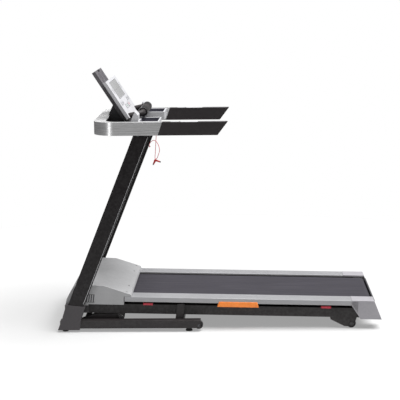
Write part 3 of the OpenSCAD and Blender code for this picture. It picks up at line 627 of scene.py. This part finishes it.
def console_details():
    """Gasket and fields of the window, speaker slots, and vents, bosses and ribs on the back; the vents are
    dark slots of painted shade standing for their shadowed openings.
    """
    bm = bmesh.new()
    ring(bm, rounded_rect(-0.1525, 0.1525, 0.1135, 0.2165, 0.003),
         rounded_rect(-0.151, 0.151, 0.115, 0.215, 0.002), "x", -0.0004, 0.0006, PANEL)
    piece("window_gasket", bm, "shell_plastic", "stand")
    bm = bmesh.new()
    for y in (-0.075, 0.0, 0.075):
        prism(bm, rounded_rect(y - 0.0005, y + 0.0005, 0.124, 0.206, 0.0004, 1), "x", -0.0004, 0.0003, PANEL)
    for y in (-0.1125, -0.0375, 0.0375, 0.1125):
        prism(bm, rounded_rect(y - 0.026, y + 0.026, 0.1645, 0.1655, 0.0004, 1), "x", -0.0004, 0.0003, PANEL)
    piece("window_fields", bm, "shell_plastic", "stand")
    bm = bmesh.new()
    for side in (-1, 1):
        for k in range(6):
            y = side * (0.172 + 0.010 * k)
            prism(bm, rounded_rect(y - 0.0018, y + 0.0018, 0.150, 0.186, 0.0017), "x", -0.0003, 0.0003, PANEL)
    piece("speaker_slots", bm, "key_grey", "stand")
    bm = bmesh.new()
    for k in range(9):
        z = 0.070 + 0.014 * k
        prism(bm, rounded_rect(-0.075, 0.075, z - 0.003, z + 0.003, 0.0029), "x", -0.0502, -0.0497, PANEL)
    # painted shade: dark slots stand for the shadowed vent openings
    piece("console_vent_shade", bm, "dark_plastic", "stand")
    bm = bmesh.new()
    for side in (-1, 1):
        for z in (0.040, 0.212):
            prism(bm, disc(side * 0.130, z, 0.0055), "x", -0.0512, -0.0498, PANEL)
        for y in (0.030, 0.062, 0.094):
            prism(bm, [(side * y - 0.0012, 0.230), (side * y + 0.0012, 0.230), (side * y + 0.0012, 0.290),
                       (side * y - 0.0012, 0.290)], "x", -0.0306, -0.0288, PANEL)
    piece("console_bosses", bm, "shell_plastic", "stand", 0.0005)


TRAY_RIM = 1.1022


def tray_shade_sheets():
    """Grey sheet in each tray, painted shade standing for the shadow inside it, with ribs on its floor."""
    # painted shade: this grey stands in for the shadow on the tray's walls and floor
    grey = rubbery("tray_liner", (0.085, 0.083, 0.105), 0.4)
    for name, side in SIDES.items():
        low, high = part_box("tray_" + name)
        x0, x1 = low.x + 0.0465, high.x - 0.0085
        y0, y1 = sorted((side * 0.1465, side * 0.3515))
        floor = low.z + 0.0052
        bm = bmesh.new()
        outer = rounded_rect(x0, x1, y0, y1, 0.006)
        inner = rounded_rect(x0 + 0.0012, x1 - 0.0012, y0 + 0.0012, y1 - 0.0012, 0.005)
        loops = [loop_of(bm, outline, "z", z, Matrix.Identity(4)) for outline, z in
                 ((outer, floor), (outer, TRAY_RIM), (inner, TRAY_RIM), (inner, floor + 0.0012))]
        for here, there in zip(loops, loops[1:]):
            bridge(bm, here, there)
        bm.faces.new(loops[0])
        bm.faces.new(loops[3])
        for k in range(9):
            y = y0 + (y1 - y0) * (k + 1) / 10
            prism(bm, rounded_rect(x0 + 0.010, x1 - 0.010, y - 0.0015, y + 0.0015, 0.0014), "z",
                  floor + 0.0008, floor + 0.0024)
        piece("tray_liner_" + name, bm, grey, "stand")


def grip_top_highlights():
    """Lighter strips along the top of each grip, a painted highlight on the top faces: a pale one beside the
    quick key and a grey one on.
    """
    for name in SIDES:
        low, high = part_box("grip_" + name)
        y0, y1 = low.y + 0.006, high.y - 0.006
        for part, x0, x1, slot in (("pale", -0.192, -0.100, "silver_plastic"),
                                   ("grey", -0.094, high.x - 0.012, "shell_plastic")):
            bm = bmesh.new()
            prism(bm, rounded_rect(x0, x1, y0, y1, 0.008, 6), "z", high.z - 0.001, high.z + 0.0012)
            # painted highlight: these strips make the grip tops lighter
            piece("grip_painted_highlight_{}_{}".format(part, name), bm, slot, "stand", 0.0008)


key_symbols()
console_details()
tray_shade_sheets()
grip_top_highlights()

# ---------------------------------------------------------------- wheels, bolts and covers


def lathe(bm, profile, centre):
    """Adds a ring turned round the Y line through centre; profile is a closed loop of (along, radius)."""
    x, y, z = centre
    turns = [math.tau * k / 48 for k in range(48)]
    loops = [[bm.verts.new((x + r * math.cos(turn), y + a, z + r * math.sin(turn))) for a, r in profile]
             for turn in turns]
    for near, far in zip(loops, loops[1:] + loops[:1]):
        bridge(bm, near, far)


def wheel(node, centre, r, half):
    """Wheel with round shoulders, a groove in the tread and a sunk web with ribs."""
    edge = [(half, 0.0053), (half, 0.0095), (half - 0.0016, 0.0102), (half - 0.0016, r - 0.0062),
            (half, r - 0.0055), (half, r - 0.0028), (half - 0.0007, r - 0.0010), (half - 0.0024, r),
            (0.0012, r), (0.0008, r - 0.0011)]
    bm = bmesh.new()
    lathe(bm, edge + [(-a, b) for a, b in reversed(edge)], centre)
    for side in (-1, 1):
        for k in range(6):
            spin = Matrix.Translation(centre) @ Matrix.Rotation(math.tau * k / 6, 4, "Y")
            low, high = sorted((side * (half - 0.0019), side * (half - 0.0003)))
            prism(bm, [(0.0092, -0.0009), (r - 0.0058, -0.0009), (r - 0.0058, 0.0009), (0.0092, 0.0009)], "y",
                  low, high, spin)
    obj = piece(node + "_turned", bm, SLOTS["wheel_rubber"], node)
    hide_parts(node)


def bolt(name, body, at, r, h, metal):
    """Round head with a dark hexagon on top, painted shade for the socket hole; at carries its foot, z out of
    the surface.
    """
    bm = bmesh.new()
    bmesh.ops.create_cone(bm, cap_ends=True, segments=32, radius1=r, radius2=r * 0.93, depth=h,
                          matrix=at @ Matrix.Translation((0, 0, h / 2)))
    piece(name, bm, metal, body, h * 0.3)
    # painted shade: a dark hexagon stands for the shadowed socket hole
    bm = bmesh.new()
    bmesh.ops.create_cone(bm, cap_ends=True, segments=6, radius1=r * 0.5, radius2=r * 0.5, depth=0.0004,
                          matrix=at @ Matrix.Translation((0, 0, h)))
    piece(name + "_socket", bm, SLOTS["dark_plastic"], body)


def sideways(x, y, z, side):
    """Place on a face that looks out to one side."""
    return Matrix.Translation((x, y, z)) @ Matrix.Rotation(math.radians(-90 * side), 4, "X")


def running_gear():
    """The four wheels, and the bolts of wheels and hinge. The wheels' centres are those of their joints."""
    rear_x, rear_z = 0.693, 0.024
    transport_x, transport_z = -0.110, 0.033
    paint = SLOTS["strut_paint"]
    for name, side in SIDES.items():
        wheel("rear_wheel_" + name, (rear_x, side * 0.313, rear_z), 0.024, 0.0105)
        wheel("transport_wheel_" + name, (transport_x, side * 0.367, transport_z), 0.023, 0.011)
        for kind, body, x, y, z, r, h in (
                ("rear_wheel", "deck", rear_x, 0.3318, rear_z, 0.0075, 0.0012),
                ("hinge", "deck", -0.521, 0.3326, 0.067, 0.0100, 0.0012),
                ("transport", "stand", transport_x, 0.3938, transport_z, 0.0085, 0.0030)):
            bolt("{}_bolt_{}".format(kind, name), body, sideways(x, side * y, z, side), r, h, paint)


def rail_treads():
    """Grip ribs along the top of each foot rail and upright ribs at the front of each end cap."""
    for name, side in SIDES.items():
        bm = bmesh.new()
        for k in range(7):
            y = side * (0.266 + 0.012 * k)
            prism(bm, rounded_rect(-0.494, 0.688, y - 0.0014, y + 0.0014, 0.0013, 3), "z",
                  -0.0003, 0.0006, DECK)
        piece("tread_ribs_" + name, bm, "rail_silver", "deck")
        bm = bmesh.new()
        low, high = sorted((side * 0.3536, side * 0.3548))
        for k in range(7):
            x, foot = 0.697 + 0.0045 * k, -0.024 - 0.006 * k
            prism(bm, [(x, foot), (x + 0.0022, foot), (x + 0.0022, -0.004), (x, -0.004)],
                  "y", low, high, DECK)
        piece("cap_ribs_" + name, bm, "shell_plastic", "deck")


def rear_guard():
    """Black bar behind the belt's end, held in the end caps."""
    bm = bmesh.new()
    outline = [(0.8128, -0.054), (0.8230, -0.054), (0.8230, -0.020), (0.8190, -0.0135), (0.8128, -0.0135)]
    prism(bm, outline, "y", -0.2545, 0.2545, DECK)
    piece("rear_guard", bm, "dark_plastic", "deck", 0.001)


def upright_edge_highlights():
    """Pale strip down the rear edge of each upright: a painted highlight where that rounded edge catches the
    light.
    """
    lean = math.tan(math.radians(22))
    for name, side in SIDES.items():
        bm = bmesh.new()
        (foot_x, foot_z), (head_x, head_z) = [(-0.391 + (z - 1.036) * lean + 0.0365, z)
                                              for z in (0.150, 1.028)]
        low, high = sorted((side * 0.3937, side * 0.3946))
        prism(bm, [(foot_x - 0.0009, foot_z), (foot_x + 0.0009, foot_z),
                   (head_x + 0.0009, head_z), (head_x - 0.0009, head_z)], "y", low, high)
        # painted highlight along the upright's rear edge
        piece("upright_bead_" + name, bm, "silver_plastic", "stand")


def hood_details():
    """Louvres in both sides and the front of the hood, with dark plates of painted shade in their openings,
    and screws along its rear slope.
    """
    gap_shade, fins = bmesh.new(), bmesh.new()
    for side in SIDES.values():
        low, high = sorted((side * 0.3518, side * 0.3522))
        prism(gap_shade, rounded_rect(-0.765, -0.655, -0.034, 0.010, 0.006), "y", low, high, DECK)
        low, high = sorted((side * 0.3518, side * 0.3534))
        for k in range(9):
            x = -0.758 + 0.012 * k
            prism(fins, [(x, -0.031), (x + 0.006, -0.031), (x + 0.010, 0.007), (x + 0.004, 0.007)],
                  "y", low, high, DECK)
    for k in range(4):
        x, z = -0.8075 - 0.0012 * k, -0.026 - 0.006 * k
        prism(gap_shade, [(x, z), (x, z - 0.0028), (x + 0.002, z - 0.0028), (x + 0.002, z)],
              "y", -0.15, 0.15, DECK)
    # painted shade: dark plates stand for the shadowed openings behind the louvres and slots
    piece("hood_gap_shade", gap_shade, "dark_plastic", "deck")
    piece("hood_louvres", fins, "hood_plastic", "deck", 0.0004)
    slope = Matrix.Rotation(math.radians(17.1), 4, "Y")
    for name, side in SIDES.items():
        for place, y in (("outer", 0.325), ("inner", 0.180)):
            at = DECK @ Matrix.Translation((-0.490, side * y, 0.0200)) @ slope
            bolt("hood_screw_{}_{}".format(place, name), "deck", at, 0.0048, 0.0016, SLOTS["zinc"])


def bar_collars():
    """Rings where the hand bar meets its legs."""
    bm = bmesh.new()
    for side in (-1, 1):
        lathe(bm, [(-0.0025, 0.0235), (-0.0025, 0.0248), (-0.0015, 0.0253), (0.0015, 0.0253),
                   (0.0025, 0.0248), (0.0025, 0.0235)], (-0.398, side * 0.168, 1.134))
    piece("bar_collars", bm, "chrome", "stand")


running_gear()
rail_treads()
rear_guard()
upright_edge_highlights()
hood_details()
bar_collars()

# ---------------------------------------------------------------- stage


FLOOR_GLOW = 0.33
ROOM_GLOW = 0.13


def make_stage():
    """Round sheet of pale paper that fades into the white behind it."""
    bm = bmesh.new()
    bmesh.ops.create_circle(bm, cap_ends=True, segments=96, radius=3)
    floor = mesh_object("floor", bm)
    floor.location = (0, 0, -0.0005)
    paper = Look("paper", 0.9, Specular_IOR_Level=0.1, Emission_Strength=FLOOR_GLOW)
    paper.set("Emission Color", (1, 1, 1, 1))
    floor.data.materials.append(paper.paint((0.29, 0.29, 0.29), 0.004, 2, 0.004, 300).done())


def aimed(data, place, target):
    lamp = link(bpy.data.objects.new(data.name, data))
    lamp.location = place
    lamp.rotation_euler = (Vector(target) - Vector(place)).to_track_quat("-Z", "Y").to_euler()


def soft_sun(name, place, strength, spread):
    """Even light from one side of the sky, its source spread degrees across."""
    data = bpy.data.lights.new(name, "SUN")
    data.energy = strength
    data.angle = math.radians(spread)
    aimed(data, place, (0, 0, 0))


def softbox(name, place, target, size, power):
    data = bpy.data.lights.new(name, "AREA")
    data.shape = "RECTANGLE"
    data.size, data.size_y = size
    data.energy = power
    aimed(data, place, target)


def make_light():
    """A dim even room that the camera sees as white paper, a broad light above and strips around."""
    world = bpy.data.worlds.new("studio")
    scene.world = world
    world.use_nodes = True
    tree = world.node_tree
    room, paper = tree.nodes["Background"], tree.nodes.new("ShaderNodeBackground")
    room.inputs["Strength"].default_value = ROOM_GLOW
    room.inputs["Color"].default_value = paper.inputs["Color"].default_value = (1, 1, 1, 1)
    choose = tree.nodes.new("ShaderNodeMixShader")
    tree.links.new(tree.nodes.new("ShaderNodeLightPath").outputs["Is Camera Ray"], choose.inputs[0])
    tree.links.new(room.outputs[0], choose.inputs[1])
    tree.links.new(paper.outputs[0], choose.inputs[2])
    tree.links.new(choose.outputs[0], tree.nodes["World Output"].inputs["Surface"])
    soft_sun("overhead", (2.0, -0.3, 5.0), 8.0, 50)
    softbox("front_strip", (-2.9, -3.7, 0.8), (-0.57, -0.35, 1.07), (0.25, 1.2), 12)
    softbox("back_strip", (-1.15, 4.0, 1.55), (-0.6, 0, 1.1), (0.4, 0.5), 1.1)
    softbox("rear_strip", (4.2, -2.6, 1.2), (-0.2, 0, 0.7), (0.5, 2.2), 9)
    scene.view_settings.view_transform = "Standard"


make_stage()
make_light()
